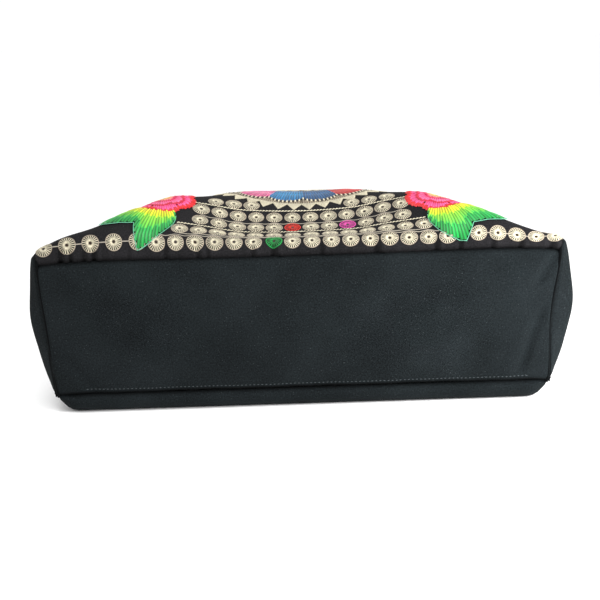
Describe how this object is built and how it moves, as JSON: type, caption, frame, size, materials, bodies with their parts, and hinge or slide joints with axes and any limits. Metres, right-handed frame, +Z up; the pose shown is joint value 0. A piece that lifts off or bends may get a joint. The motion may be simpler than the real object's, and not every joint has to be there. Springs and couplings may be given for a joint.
{
  "type": "embroidered tote bag",
  "caption": "Dark canvas tote bag with a densely embroidered front panel, a flat base, side gussets and carrying straps, filled out and lying on its back.",
  "frame": {"origin": "on the surface the bag lies on, under the middle of its back panel", "axes": "+Y towards the mouth, -Y the outward side of the base panel, +Z up from the back panel to the front panel"},
  "size_m": [0.3951, 0.5388, 0.1478],
  "materials": {
    "embroidered_cloth": "warm charcoal cloth covered with coloured silk embroidery",
    "canvas": "dark slate cotton canvas with a fine twill",
    "webbing": "black cotton webbing"
  },
  "bodies": {
    "root": {"front_panel": "embroidered_cloth", "back_panel": "canvas", "base_panel": "canvas", "side_gusset_left": "canvas", "side_gusset_right": "canvas", "strap_back": "webbing", "strap_front": "webbing"}
  },
  "joints": []
}
